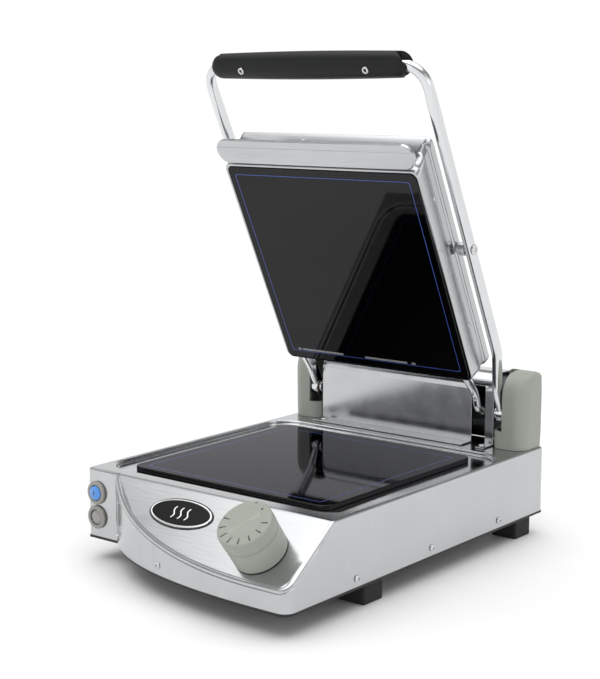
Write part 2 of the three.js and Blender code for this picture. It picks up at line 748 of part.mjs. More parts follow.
add("cable_gland", cableGland(), black);
add("terminal_block", terminalBlock(), greyPlastic);
add("rear_upright", rearUpright(), steel);
addPair("hinge_cover", hingeCover(), greyPlastic);
addPair("hinge_bracket", hingeBracket(), darkSteel);
addPair("hinge_pin", hingePin(), steel);
addPair("torsion_spring", torsionSpring(), darkSteel);

onFlatFront(add("power_bezel", bezel(), greyPlastic), BUTTON_DROP);
onFlatFront(add("power_button", buttonCap(5.5), bluePlastic), BUTTON_DROP);
onFlatFront(add("heating_lamp_bezel", bezel(), greyPlastic), LAMP_DROP);
onFlatFront(add("heating_lamp_lens", buttonCap(2.4), greyPlastic), LAMP_DROP);

const badgeRim = cut(raise(ovalShape(40, 17), GAP, 1.8, 16), raise(ovalShape(35.5, 13), 1, 3, 16));
add("badge_bezel", badgeRim, steel, consoleFace);
add("badge_plate", raise(ovalShape(35, 12.6), 1.3, 2.2, 16), black, consoleFace);
add("knob_body", knobBody(), greyPlastic, consoleFace);
add("knob_shaft", rodZ(3, -18, 33, KNOB_X, -KNOB_SLOPE), brass, consoleFace);
const thermostatCase = block(KNOB_X - 17, -KNOB_SLOPE - 12, -40, KNOB_X + 17, -KNOB_SLOPE + 17, -4);
const thermostat = cut(thermostatCase, rodZ(3.4, -19, 0, KNOB_X, -KNOB_SLOPE));
add("thermostat_body", thermostat, greyPlastic, consoleFace);

for (const [i, y] of SIDE_SCREWS.entries())
  for (const [side, word] of sides) {
    const screw = add(`side_screw_${i + 1}_${word}`, screwHead(3.6, 2), steel);
    screw.position.set(side * (WIDTH / 2 + GAP), FRONT_Y + y, DECK_Z - SIDE_SCREW_DROP);
    screw.rotation.y = (side * Math.PI) / 2;
  }

add("arm_tube", armTube(), steel, lid);
addPair("hinge_bush", hingeBush(), brass, lid);
add("grip_front", gripHalf(-1), black, lid);
add("grip_back", gripHalf(1), black, lid);
for (const [side, word] of sides) {
  const screw = add(`grip_screw_${word}`, screwHead(4.4, 3), steel, lid);
  screw.position.set(side * GRIP_SCREW_X, GRIP_Y, -10);
  screw.rotation.x = Math.PI;
}
add("lead_conduit", leadConduit(), steel, lid);

add("lid_shell", lidShell(), steel, lid);
add("upper_glass", upperGlass(), glass, lid);
add("front_lip", frontLip(), steel, lid);
addPair("pivot_bolt", pivotBolt(), steel, lid);
const upperPan = LID_GLASS_Z + GLASS_THICKNESS + GAP;
add("upper_heater_pan", heaterPan(LID_GLASS_MIDDLE, upperPan, 1), darkSteel, lid);
add("upper_insulation", insulationBoard(LID_GLASS_MIDDLE, upperPan, 1), wool, lid);
add("upper_element", heatingElement(LID_GLASS_MIDDLE, upperPan, 1), darkSteel, lid);

export default machine;
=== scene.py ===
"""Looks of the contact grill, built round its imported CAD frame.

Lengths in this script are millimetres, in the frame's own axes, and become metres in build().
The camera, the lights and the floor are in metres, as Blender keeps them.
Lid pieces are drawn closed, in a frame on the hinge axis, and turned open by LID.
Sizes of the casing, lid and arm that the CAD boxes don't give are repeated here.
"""
import json
import math

import bmesh
import bpy
from mathutils import Matrix, Vector
from mathutils.geometry import delaunay_2d_cdt

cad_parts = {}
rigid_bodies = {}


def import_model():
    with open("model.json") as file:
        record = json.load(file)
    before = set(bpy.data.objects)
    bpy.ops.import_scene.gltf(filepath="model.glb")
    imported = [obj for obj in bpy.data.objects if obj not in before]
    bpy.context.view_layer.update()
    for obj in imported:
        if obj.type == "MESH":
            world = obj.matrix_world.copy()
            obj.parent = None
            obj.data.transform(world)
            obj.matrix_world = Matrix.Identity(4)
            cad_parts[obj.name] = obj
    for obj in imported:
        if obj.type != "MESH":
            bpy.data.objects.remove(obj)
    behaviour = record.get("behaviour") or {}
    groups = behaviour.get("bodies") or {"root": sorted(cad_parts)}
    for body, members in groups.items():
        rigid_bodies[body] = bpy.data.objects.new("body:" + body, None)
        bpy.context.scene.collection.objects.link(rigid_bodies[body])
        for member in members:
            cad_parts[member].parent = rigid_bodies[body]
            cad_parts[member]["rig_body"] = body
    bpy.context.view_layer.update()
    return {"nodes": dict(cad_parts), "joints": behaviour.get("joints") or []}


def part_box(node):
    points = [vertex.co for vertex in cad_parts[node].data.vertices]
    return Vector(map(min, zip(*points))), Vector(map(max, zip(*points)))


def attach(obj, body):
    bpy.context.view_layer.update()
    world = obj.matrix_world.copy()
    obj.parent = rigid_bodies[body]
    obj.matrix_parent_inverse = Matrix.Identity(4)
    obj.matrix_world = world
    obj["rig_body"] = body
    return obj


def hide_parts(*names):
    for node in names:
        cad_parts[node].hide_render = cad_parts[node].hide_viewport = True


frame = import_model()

MM = 0.001


def cad_corners(node):
    """The low and high corners of a CAD node's box, in millimetres."""
    return [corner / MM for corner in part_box(node)]


# ------------------------------------------------------------ sizes taken from the frame

shell_low, shell_high = cad_corners("base_shell")
HALF = shell_high.x
BACK = shell_high.y
DECK = shell_high.z
SKIRT = shell_low.z
NOSE = shell_low.y
FRONT = NOSE + 70  # flat front of the casing, where the console starts to slope
STRIP = -122  # the flat strip with the button ends here and the bowed console starts
SLOPE = math.radians(36.5)
CREASE = 2.5  # half the depth of the rounded crease between deck and console
BUTTON_X = -150.5
BUTTON_DROP = 25.5  # below the deck
LAMP_DROP = 52

glass_low, glass_high = cad_corners("lower_glass")
GLASS_HALF = glass_high.x
GLASS_MIDDLE = (glass_low.y + glass_high.y) / 2
GLASS_CORNER = 13
GLASS_BEVEL = 1.1
GLASS_THICK = 5
tray_low, tray_high = cad_corners("gutter_tray")
TRAY_GROW = 3  # the tray's rim reaches this far under the deck
TRAY_HALF = tray_high.x - TRAY_GROW
TRAY_FRONT = tray_low.y + TRAY_GROW
TRAY_BACK = tray_high.y - TRAY_GROW
TRAY_CORNER = 30
TRAY_DEPTH = 4.5

joints = {joint["name"]: joint for joint in frame["joints"]}
HINGE = Vector(joints["lid_hinge"]["pos_m"]) / MM
LID_OPEN = math.radians(64)
LID = Matrix.Translation(HINGE) @ Matrix.Rotation(-LID_OPEN, 4, "X")
LID_HALF = 129
LID_CORNER = 7.5
LID_RIM = -35
LID_GLASS = -36
LID_GLASS_HALF = 126
LID_GLASS_MIDDLE = -196
LID_GLASS_CORNER = 8
LID_TOP = 6.5
LID_BACK = -68
LID_FRONT = -345
LID_SLANT = 19.5  # the front face leans out towards the top by this much
LIP_FRONT = -355
LIP_BACK = -327
LIP_FOLD = 8  # the fold line lies this far behind the front edge
ARM_X = 143.5
ARM_ROOT = 130.5
ARM_BEND = 26
ARM_ACROSS = 4  # half the flat tube's section across X
ARM_DEEP = 7
TUBE_ACROSS = 5.6  # the same where the tube is nearly round, inside the grip
TUBE_DEEP = 5.8
ARM_SLOT = 136  # the hinge covers are open on their inner side up to here
SLOT_SILL = 19.7
GRIP_Y = -426
GRIP_HALF = 127
GRIP_HIGH = 15
GRIP_DEEP = 13.5
GRIP_SCREW_X = 82
PIVOT_Y = -214.5
LEAD_X = 101
LEAD_Z = -12  # height at which the conduit enters the lid
LEAD_RADIUS = 4.4

CONSOLE = Matrix.Translation((0, FRONT, DECK)) @ Matrix.Rotation(SLOPE, 4, "X")
KNOB_AXIS = Vector(joints["knob_turn"]["pos_m"]) / MM
KNOB = Matrix.Translation(KNOB_AXIS) @ Matrix.Rotation(SLOPE, 4, "X")
KNOB_RADIUS = 28
KNOB_HEIGHT = 41
KNOB_CAP = 15  # height of the cap above the groove
BADGE = CONSOLE @ Matrix.Translation((-6, -30.5, 0))


# ------------------------------------------------------------ camera, floor and light

CAMERA_OFFSET = Vector((1009.8, -1104.8, 400.8))  # from the middle of the deck's front edge
CAMERA_AZIMUTH = math.radians(38.7)
CAMERA_DROP = math.radians(9.37)
CAMERA_LENS = 81.83
SENSOR = 36
LIGHT_AIM = Vector((0, 0, 0.15))
FLOOR_REACH = 60
SKY_STRENGTH = 2.1
SKY = (  # height of the direction (0 level, 1 straight up) and grey of the studio there
    (0.0, 0.5), (0.055, 0.5), (0.12, 0.54), (0.28, 0.46), (0.45, 0.14), (0.72, 0.2), (0.8, 1.0),
)


def add_camera():
    data = bpy.data.cameras.new("camera")
    data.sensor_width = SENSOR
    data.lens = CAMERA_LENS
    camera = bpy.data.objects.new("camera", data)
    camera.location = (Vector((0, FRONT, DECK)) + CAMERA_OFFSET) * MM
    camera.rotation_euler = (math.pi / 2 - CAMERA_DROP, 0, CAMERA_AZIMUTH)
    bpy.context.scene.collection.objects.link(camera)
    bpy.context.scene.camera = camera


def add_light(name, place, size, power):
    data = bpy.data.lights.new(name, "AREA")
    data.shape = "RECTANGLE"
    data.size, data.size_y = size
    data.energy = power
    light = bpy.data.objects.new(name, data)
    light.location = place
    light.rotation_euler = (LIGHT_AIM - Vector(place)).to_track_quat("-Z", "Y").to_euler()
    bpy.context.scene.collection.objects.link(light)


def add_sky():
    """A grey studio that changes only with height: bright overhead, dim at mid height."""
    world = bpy.data.worlds.new("studio")
    world.use_nodes = True
    nodes, links = world.node_tree.nodes, world.node_tree.links
    background = nodes["Background"]
    place = nodes.new("ShaderNodeTexCoord")
    split = nodes.new("ShaderNodeSeparateXYZ")
    ramp = nodes.new("ShaderNodeValToRGB")
    while len(ramp.color_ramp.elements) < len(SKY):
        ramp.color_ramp.elements.new(1.0)
    for element, (position, grey) in zip(ramp.color_ramp.elements, SKY):
        element.position = position
        element.color = (grey, grey, grey, 1)
    links.new(place.outputs["Generated"], split.inputs[0])
    links.new(split.outputs["Z"], ramp.inputs[0])
    links.new(ramp.outputs[0], background.inputs["Color"])
    background.inputs["Strength"].default_value = SKY_STRENGTH
    bpy.context.scene.world = world


def add_studio():
    add_sky()
    add_light("ceiling_light", (-0.9, 0.1, 1.9), (2.6, 2.6), 4)
    add_light("front_light", (-0.6, -2.2, 1.3), (1.8, 1.4), 3)
    add_light("right_light", (2.4, 0.6, 1.2), (1.6, 1.6), 3)
    reach = FLOOR_REACH
    mesh = bpy.data.meshes.new("floor")
    corners = [(-reach, -reach, 0), (reach, -reach, 0), (reach, reach, 0), (-reach, reach, 0)]
    mesh.from_pydata(corners, [], [(0, 1, 2, 3)])
    mesh.materials.append(LOOKS["floor"])
    floor = bpy.data.objects.new("floor", mesh)
    bpy.context.scene.collection.objects.link(floor)


# ------------------------------------------------------------ materials

GRAIN_DETAIL = 4.0
CLOUD_SCALE = 9.0  # cycles per metre of the slow drift over the grain
CLOUD_DETAIL = 3.0
NOISE_LOW, NOISE_HIGH = 0.3, 0.7  # nearly all of a noise lies between these
EDGE_LOW, EDGE_HIGH = 0.52, 0.62  # pointiness where an edge starts to look worn, and where it is
EDGE_WEAR = 0.6


def surface(name, colours, roughness, metallic=0.0, grain=(400, 400, 400), bump=0.0, depth=0.02,
            fixed=(), edge=None):
    """A procedural finish. Colour and roughness drift between their two values with a fine noise
    (grain is its cycles per metre along each axis) and a slow one, the fine noise lifts the
    surface by up to depth millimetres, and sharp edges wear towards the edge colour."""
    material = bpy.data.materials.new(name)
    material.use_nodes = True
    nodes, links = material.node_tree.nodes, material.node_tree.links
    shader = nodes["Principled BSDF"]
    shader.inputs["Metallic"].default_value = metallic
    for socket, value in fixed:
        shader.inputs[socket].default_value = value
    place = nodes.new("ShaderNodeTexCoord")
    stretch = nodes.new("ShaderNodeMapping")
    stretch.inputs["Scale"].default_value = grain
    noise = nodes.new("ShaderNodeTexNoise")
    noise.inputs["Scale"].default_value = 1.0
    noise.inputs["Detail"].default_value = GRAIN_DETAIL
    links.new(place.outputs["Object"], stretch.inputs["Vector"])
    links.new(stretch.outputs["Vector"], noise.inputs["Vector"])
    cloud = nodes.new("ShaderNodeTexNoise")
    cloud.inputs["Scale"].default_value = CLOUD_SCALE
    cloud.inputs["Detail"].default_value = CLOUD_DETAIL
    links.new(place.outputs["Object"], cloud.inputs["Vector"])
    mixed = nodes.new("ShaderNodeMath")
    mixed.operation = "ADD"
    links.new(noise.outputs["Fac"], mixed.inputs[0])
    links.new(cloud.outputs["Fac"], mixed.inputs[1])
    ramp = nodes.new("ShaderNodeValToRGB")
    ramp.color_ramp.elements[0].position = NOISE_LOW
    ramp.color_ramp.elements[1].position = NOISE_HIGH
    for element, colour in zip(ramp.color_ramp.elements, colours):
        element.color = (*colour, 1)
    half = nodes.new("ShaderNodeMath")
    half.operation = "MULTIPLY"
    half.inputs[1].default_value = 0.5
    links.new(mixed.outputs[0], half.inputs[0])
    links.new(half.outputs[0], ramp.inputs[0])
    base = ramp.outputs[0]
    if edge:
        worn = nodes.new("ShaderNodeMix")
        worn.data_type = "RGBA"
        worn.inputs["B"].default_value = (*edge, 1)
        geometry = nodes.new("ShaderNodeNewGeometry")
        rim = nodes.new("ShaderNodeMapRange")
        rim.inputs["From Min"].default_value = EDGE_LOW
        rim.inputs["From Max"].default_value = EDGE_HIGH
        rim.inputs["To Max"].default_value = EDGE_WEAR
        links.new(geometry.outputs["Pointiness"], rim.inputs["Value"])
        links.new(rim.outputs[0], worn.inputs["Factor"])
        links.new(base, worn.inputs["A"])
        base = worn.outputs["Result"]
    links.new(base, shader.inputs["Base Color"])
    spread = nodes.new("ShaderNodeMapRange")
    spread.inputs["From Min"].default_value = NOISE_LOW
    spread.inputs["From Max"].default_value = NOISE_HIGH
    spread.inputs["To Min"].default_value = roughness[0]
    spread.inputs["To Max"].default_value = roughness[1]
    links.new(half.outputs[0], spread.inputs["Value"])
    links.new(spread.outputs[0], shader.inputs["Roughness"])
    if bump:
        lift = nodes.new("ShaderNodeBump")
        lift.inputs["Strength"].default_value = bump
        lift.inputs["Distance"].default_value = depth * MM
        links.new(noise.outputs["Fac"], lift.inputs["Height"])
        links.new(lift.outputs["Normal"], shader.inputs["Normal"])
    return material


STEEL_PAIR = ((0.46, 0.47, 0.48), (0.55, 0.56, 0.57))
GREY_GREEN = ((0.285, 0.305, 0.265), (0.315, 0.335, 0.295))
LOOKS = {
    "floor": surface("floor_paint", ((0.87, 0.87, 0.87), (0.90, 0.90, 0.90)), (0.6, 0.7)),
    "sheet": surface("satin_sheet_steel", STEEL_PAIR, (0.16, 0.26), 1.0, (30, 900, 30), 0.12, 0.01),
    "deck_tray": surface("pressed_tray_steel", STEEL_PAIR, (0.12, 0.2), 1.0, (60, 60, 60), 0.02, 0.01),
    "polished": surface("polished_tube_steel", ((0.66, 0.67, 0.68), (0.72, 0.73, 0.74)), (0.09, 0.16),
                        1.0, (200, 60, 60), 0.05, 0.01),
    "inner_steel": surface("zinc_plated_steel", ((0.30, 0.31, 0.32), (0.45, 0.46, 0.46)), (0.3, 0.5),
                           1.0, (60, 60, 60), 0.2, 0.05),
    "fastener": surface("bright_fastener_steel", ((0.55, 0.55, 0.56), (0.68, 0.68, 0.69)), (0.15, 0.3),
                        1.0, (900, 900, 900), 0.1, 0.01),
    "glass": surface("black_glass_ceramic", ((0.030, 0.030, 0.031), (0.036, 0.036, 0.037)), (0.03, 0.06),
                     1.0, fixed=(("Specular Tint", (0.58, 0.58, 0.6, 1)),)),
    "blue_print": surface("blue_print", ((0.03, 0.06, 0.30), (0.05, 0.10, 0.38)), (0.3, 0.4)),
    "grey_print": surface("grey_print", ((0.25, 0.25, 0.25), (0.34, 0.34, 0.33)), (0.4, 0.5)),
    "black_plate": surface("black_paint", ((0.008, 0.008, 0.008), (0.014, 0.014, 0.014)), (0.45, 0.6),
                           grain=(900, 900, 900), bump=0.3, depth=0.03),
    "grip": surface("black_grip_plastic", ((0.006, 0.0065, 0.0065), (0.010, 0.011, 0.011)), (0.4, 0.5),
                    grain=(1500, 1500, 1500), bump=0.35, depth=0.03, edge=(0.02, 0.021, 0.021),
                    fixed=(("Specular IOR Level", 0.22),)),
    "cover": surface("grey_green_cover", GREY_GREEN, (0.42, 0.52), grain=(1300, 1300, 1300), bump=0.4,
                     depth=0.04, edge=(0.36, 0.38, 0.34)),
    "knob": surface("grey_green_knob", GREY_GREEN, (0.38, 0.48), grain=(1800, 1800, 1800), bump=0.3,
                    depth=0.03, edge=(0.36, 0.38, 0.34)),
    "dial_print": surface("dark_dial_print", ((0.04, 0.043, 0.04), (0.06, 0.065, 0.058)), (0.5, 0.6)),
    "bezel": surface("grey_bezel_plastic", ((0.25, 0.245, 0.23), (0.31, 0.30, 0.28)), (0.35, 0.45),
                     grain=(1200, 1200, 1200), bump=0.25, depth=0.03),
    "blue_lens": surface("blue_lens_plastic", ((0.035, 0.20, 0.62), (0.07, 0.30, 0.78)), (0.12, 0.2),
                         grain=(300, 300, 300), fixed=(("Coat Weight", 0.6), ("Coat Roughness", 0.05))),
    "grey_lens": surface("grey_lens_plastic", ((0.24, 0.235, 0.22), (0.36, 0.35, 0.33)), (0.15, 0.3),
                         grain=(250, 250, 250), fixed=(("Coat Weight", 0.5), ("Coat Roughness", 0.08))),
    "badge_black": surface("gloss_black_enamel", ((0.004, 0.004, 0.004), (0.007, 0.007, 0.007)),
                           (0.15, 0.22), fixed=(("Specular IOR Level", 0.12),)),
    "rubber": surface("matt_rubber", ((0.010, 0.010, 0.010), (0.020, 0.020, 0.019)), (0.75, 0.9),
                      grain=(700, 700, 700), bump=0.5, depth=0.08),
    "nylon": surface("black_nylon", ((0.012, 0.012, 0.012), (0.018, 0.018, 0.018)), (0.45, 0.6),
                     grain=(800, 800, 800), bump=0.3, depth=0.03),
    "terminal": surface("cream_terminal_plastic", ((0.55, 0.52, 0.43), (0.62, 0.59, 0.50)), (0.45, 0.6),
                        grain=(700, 700, 700), bump=0.2, depth=0.03),
    "wool": surface("mineral_fibre_board", ((0.50, 0.47, 0.40), (0.70, 0.67, 0.60)), (0.9, 1.0),
                    grain=(300, 1500, 300), bump=0.9, depth=0.4),
    "heater": surface("oxidised_ribbon", ((0.08, 0.06, 0.05), (0.20, 0.13, 0.09)), (0.5, 0.7), 0.8,
                      (150, 150, 150), 0.3, 0.05),
    "brass": surface("turned_brass", ((0.50, 0.36, 0.13), (0.62, 0.46, 0.20)), (0.2, 0.35), 1.0,
                     (100, 100, 1500), 0.15, 0.02),
    "bronze": surface("sintered_bronze", ((0.32, 0.20, 0.09), (0.45, 0.30, 0.14)), (0.4, 0.6), 1.0,
                      (1500, 1500, 1500), 0.3, 0.03),
}


# ------------------------------------------------------------ mesh helpers


def build(name, parts, look, body, nodes=(), place=Matrix(), sharp=38):
    """One piece from (vertices, faces) parts drawn in millimetres, moved to its place. Edges
    sharper than sharp degrees stay sharp, and nodes are the CAD nodes it is shown instead of."""
    bm = bmesh.new()
    for vertices, faces in parts:
        made = [bm.verts.new((place @ Vector(v)) * MM) for v in vertices]
        for face in faces:
            corners = [made[i] for i in face]
            if not bm.faces.get(corners):
                bm.faces.new(corners)
    finish_piece(name, bm, look, body, nodes, sharp)


def finish_piece(name, bm, look, body, nodes, sharp=38):
    """Clean and shade a mesh, and hand it to the frame."""
    bmesh.ops.remove_doubles(bm, verts=bm.verts, dist=1e-6)
    bmesh.ops.dissolve_degenerate(bm, dist=1e-6, edges=bm.edges)
    bmesh.ops.recalc_face_normals(bm, faces=bm.faces)
    for face in bm.faces:
        face.smooth = True
    mesh = bpy.data.meshes.new(name)
    bm.to_mesh(mesh)
    bm.free()
    mesh.set_sharp_from_angle(angle=math.radians(sharp))
    mesh.materials.append(LOOKS[look])
    piece = bpy.data.objects.new(name, mesh)
    bpy.context.scene.collection.objects.link(piece)
    weighted = piece.modifiers.new("flat_faces", "WEIGHTED_NORMAL")
    weighted.keep_sharp = True
    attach(piece, body)
    if nodes:
        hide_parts(*nodes)


def skin(rings, closed=True, start=False, end=False, loop=False):
    """Vertices and faces of the skin over rings of equal length. closed joins each ring's ends,
    loop joins the last ring to the first, and start and end cap the first and last ring."""
    count = len(rings[0])
    vertices = [tuple(point) for ring in rings for point in ring]
    faces = []
    last = len(rings) if loop else len(rings) - 1
    for i in range(last):
        a, b = i * count, (i + 1) % len(rings) * count
        for j in range(count if closed else count - 1):
            k = (j + 1) % count
            faces.append((a + j, a + k, b + k, b + j))
    if start:
        faces.append(tuple(range(count)))
    if end:
        faces.append(tuple(range((len(rings) - 1) * count, len(rings) * count)))
    return vertices, faces


def arc(cx, cy, radius, start, stop, steps):
    """Points of an arc, from start to stop degrees."""
    angles = [math.radians(start + (stop - start) * i / steps) for i in range(steps + 1)]
    return [(cx + radius * math.cos(a), cy + radius * math.sin(a)) for a in angles]


def turn(sides):
    """The angles of a full turn, in radians."""
    return [2 * math.pi * i / sides for i in range(sides)]


def rounded_rect(x0, y0, x1, y1, r, steps=8):
    """Points round a rectangle whose corners have radius r."""
    return (arc(x1 - r, y0 + r, r, -90, 0, steps) + arc(x1 - r, y1 - r, r, 0, 90, steps)
            + arc(x0 + r, y1 - r, r, 90, 180, steps) + arc(x0 + r, y0 + r, r, 180, 270, steps))


def turned_rings(profile, sides):
    return [[(r * math.cos(a), r * math.sin(a), z) for a in turn(sides)] for r, z in profile]


def lathe(profile, sides):
    """A turned solid round Z from (radius, height) points, closed at both ends."""
    return skin(turned_rings(profile, sides), start=True, end=True)


def slab(x0, y0, z0, x1, y1, z1):
    """A block between two opposite corners."""
    ring = [(x0, y0), (x1, y0), (x1, y1), (x0, y1)]
    return skin([[(x, y, z) for x, y in ring] for z in sorted((z0, z1))], start=True, end=True)


def rounded_path(corners, steps=8):
    """A path through (x, y, radius) corners, with each corner rounded by an arc of that radius."""
    path = [Vector(corners[0][:2])]
    for before, (x, y, radius), after in zip(corners, corners[1:], corners[2:]):
        here = Vector((x, y))
        a = (Vector(before[:2]) - here).normalized()
        b = (Vector(after[:2]) - here).normalized()
        bend = math.pi - a.angle(b)
        if radius == 0 or bend < 1e-3:
            path.append(here)
            continue
        reach = radius * math.tan(bend / 2)
        centre = here + (a + b).normalized() * radius / math.cos(bend / 2)
        first, final = here + a * reach - centre, here + b * reach - centre
        around = first.angle(final)
        for i in range(steps + 1):
            t = i / steps
            blend = math.sin((1 - t) * around) * first + math.sin(t * around) * final
            path.append(centre + blend / math.sin(around))
    path.append(Vector(corners[-1][:2]))
    return path


def sweep(path, section, up):
    """Rings of a section carried along a 3-D path. section(t) gives (across, up) points, with t
    from 0 at the path's start to 1 at its end."""
    rings = []
    for i, point in enumerate(path):
        along = (path[min(i + 1, len(path) - 1)] - path[max(i - 1, 0)]).normalized()
        across = along.cross(up).normalized()
        rise = across.cross(along)
        t = i / (len(path) - 1)
        rings.append([point + across * a + rise * b for a, b in section(t)])
    return rings


def smooth_curve(points, steps):
    """A Catmull-Rom curve through the points."""
    ends = [2 * points[0] - points[1], *points, 2 * points[-1] - points[-2]]
    curve = []
    for p0, p1, p2, p3 in zip(ends, ends[1:], ends[2:], ends[3:]):
        for i in range(steps):
            t = i / steps
            curve.append(0.5 * (2 * p1 + (p2 - p0) * t + (2 * p0 - 5 * p1 + 4 * p2 - p3) * t**2
                                + (3 * p1 - p0 - 3 * p2 + p3) * t**3))
    return curve + [points[-1]]


def oval_section(a, b, sides=12):
    return [(a * math.cos(t), b * math.sin(t)) for t in turn(sides)]


def carved(solid, *cutters):
    """A closed solid with other closed solids cut out of it, as (vertices, faces)."""
    def temporary(part):
        mesh = bpy.data.meshes.new("cutting")
        mesh.from_pydata(part[0], [], part[1])
        bm = bmesh.new()
        bm.from_mesh(mesh)
        bmesh.ops.remove_doubles(bm, verts=bm.verts, dist=1e-4)
        bmesh.ops.recalc_face_normals(bm, faces=bm.faces)
        bm.to_mesh(mesh)
        bm.free()
        made = bpy.data.objects.new("cutting", mesh)
        bpy.context.scene.collection.objects.link(made)
        return made

    body = temporary(solid)
    tools = [temporary(cutter) for cutter in cutters]
    for tool in tools:
        cut = body.modifiers.new("cut", "BOOLEAN")
        cut.operation = "DIFFERENCE"
        cut.solver = "EXACT"
        cut.object = tool
    result = body.evaluated_get(bpy.context.evaluated_depsgraph_get()).to_mesh()
    vertices = [tuple(v.co) for v in result.vertices]
    faces = [tuple(p.vertices) for p in result.polygons]
    for made in [body, *tools]:
        bpy.data.objects.remove(made)
    return vertices, faces


def refined(node, look, width):
    """A copy of a CAD node with its flat faces merged and its edges rounded, in its place."""
    bm = bmesh.new()
    bm.from_mesh(frame["nodes"][node].data)
    bmesh.ops.remove_doubles(bm, verts=bm.verts, dist=1e-6)
    bmesh.ops.dissolve_limit(bm, angle_limit=math.radians(1), verts=bm.verts, edges=bm.edges)
    corners = [e for e in bm.edges if len(e.link_faces) == 2 and e.calc_face_angle() > math.radians(35)]
    bmesh.ops.bevel(bm, geom=corners, offset=width * MM, segments=2, affect="EDGES",
                    profile=0.5, clamp_overlap=True)
    body = frame["nodes"][node]["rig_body"]
    finish_piece(node + "_finished", bm, look, body, [node])


# ------------------------------------------------------------ casing

EDGE_RADIUS = 2.8
BEAD_RADIUS = 4.6  # the edge's radius along the console, between two grooves
GROOVE = 1.1  # depth of a groove
BEAD_FADE = 50  # length over which the bead dies away up the right edge
EDGE_STEPS = 7
STRIP_STEP = 1.5
FRONT_CORNER = 12
CORNER_START = 14  # the right side's own points start this far behind the nose
TRAY_ROLL = 2.5


def console_share(x):
    """0 over the flat strip with the button, 1 over the sloping console."""
    return min(max((x - STRIP) / STRIP_STEP, 0), 1)


def top_height(x, y):
    """Height of the casing's top: the level deck, a rounded crease and the sloping console."""
    ahead = FRONT - y
    if ahead <= -CREASE:
        drop = 0
    elif ahead < CREASE:
        drop = (ahead + CREASE) ** 2 / (4 * CREASE)
    else:
        drop = ahead
    return DECK - drop * math.tan(SLOPE) * console_share(x)


def casing_outline():
    """Points round the casing in plan, anticlockwise, each with its outward normal."""
    p, q, r, s = Vector((STRIP, FRONT)), Vector((-65, FRONT - 56)), Vector((40, NOSE)), Vector((125, NOSE))
    steps = 40
    bow = []
    for i in range(1, steps + 1):
        t = i / steps
        at = (1 - t) ** 3 * p + 3 * (1 - t) ** 2 * t * q + 3 * (1 - t) * t**2 * r + t**3 * s
        bow.append((at.x, at.y, 0))
    low, high = NOSE + CORNER_START, FRONT - CREASE
    rise = [(HALF, low + (high - low) * i / 8, 0) for i in range(9)]
    rise += [(HALF, FRONT + CREASE * k / 2, 0) for k in (-1, 0, 1, 2)]
    corners = [(0, BACK, 0), (-HALF, BACK, 6), (-HALF, FRONT, 6), (STRIP, FRONT, 5), *bow,
               (HALF, NOSE, FRONT_CORNER), *rise, (HALF, BACK, 6), (0, BACK, 0)]
    path = rounded_path(corners)[:-1]
    outline = []
    for before, here, after in zip(path[-1:] + path, path, path[1:] + path[:1]):
        along = ((here - before).normalized() + (after - here).normalized()).normalized()
        outline.append((here, Vector((along.y, -along.x))))
    return outline


def edge_profile(here, normal):
    """(inset, drop) points over the rounded top edge, from the wall in to the flat top."""
    front_facing = max(-normal.y, 0)
    share = console_share(here.x) if here.y < FRONT + 1 else 0
    sloping = math.atan(math.tan(SLOPE) * front_facing * share)
    if here.y < FRONT and normal.x > 0.9:
        fade = min((FRONT - here.y) / BEAD_FADE, 1)
    else:
        fade = share * min(front_facing * 2, 1)
    radius = EDGE_RADIUS + (BEAD_RADIUS - EDGE_RADIUS) * fade
    groove = GROOVE * min(fade * 1.5, 1)
    reach = radius * math.tan((math.pi / 2 - sloping) / 2)
    points = [(d, reach + s) for s, d in ((1.9, 0), (1.5, 0), (0.8, groove), (0.1, 0))]
    for i in range(EDGE_STEPS + 1):
        angle = math.pi - (math.pi / 2 - sloping) * i / EDGE_STEPS
        inset = radius + radius * math.cos(angle)
        height = radius * math.sin(angle) - reach
        points.append((inset, inset * math.tan(sloping) - height))
    run = reach * math.cos(sloping)
    points += [(run + s, d) for s, d in ((0.1, 0), (0.8, groove), (1.5, 0))]
    return points


def wall_rings():
    """Up the casing's wall and over its edge, once for each point of the outline."""
    foot = [(1.5, 1.5), (1.5, 0), (0.4, 0), (0, 0.4)]
    rings = []
    for here, normal in casing_outline():
        ring = [(*(here - normal * inset), SKIRT + lift) for inset, lift in foot]
        for inset, drop in edge_profile(here, normal):
            at = here - normal * inset
            ring.append((at.x, at.y, top_height(at.x, at.y) - drop))
        rings.append(ring)
    return rings


def tray_outline(grow):
    """Points round the gutter's upper edge, grown all round."""
    return rounded_rect(-TRAY_HALF - grow, TRAY_FRONT - grow, TRAY_HALF + grow, TRAY_BACK + grow,
                        TRAY_CORNER + grow)


def casing_top(edge, hole):
    """The top sheet between the casing's edge and the tray's hole, bent at the crease."""
    creases = []
    for k in (-2, -1, 0, 1, 2):
        y = FRONT + CREASE * k / 2
        creases += [Vector((STRIP + 4, y)), Vector((HALF - 8, y))]
    lines = [(i, (i + 1) % len(edge)) for i in range(len(edge))]
    lines += [(len(edge) + i, len(edge) + (i + 1) % len(hole)) for i in range(len(hole))]
    first = len(edge) + len(hole)
    lines += [(first + i, first + i + 1) for i in range(0, len(creases), 2)]
    flat, _, faces, *_ = delaunay_2d_cdt(edge + hole + creases, lines, [], 0, 1e-5)
    kept = []
    for face in faces:
        middle = sum((flat[i] for i in face), Vector((0, 0))) / len(face)
        if inside(middle, edge) and not inside(middle, hole):
            kept.append(tuple(face))
    return [(v.x, v.y, top_height(v.x, v.y)) for v in flat], kept


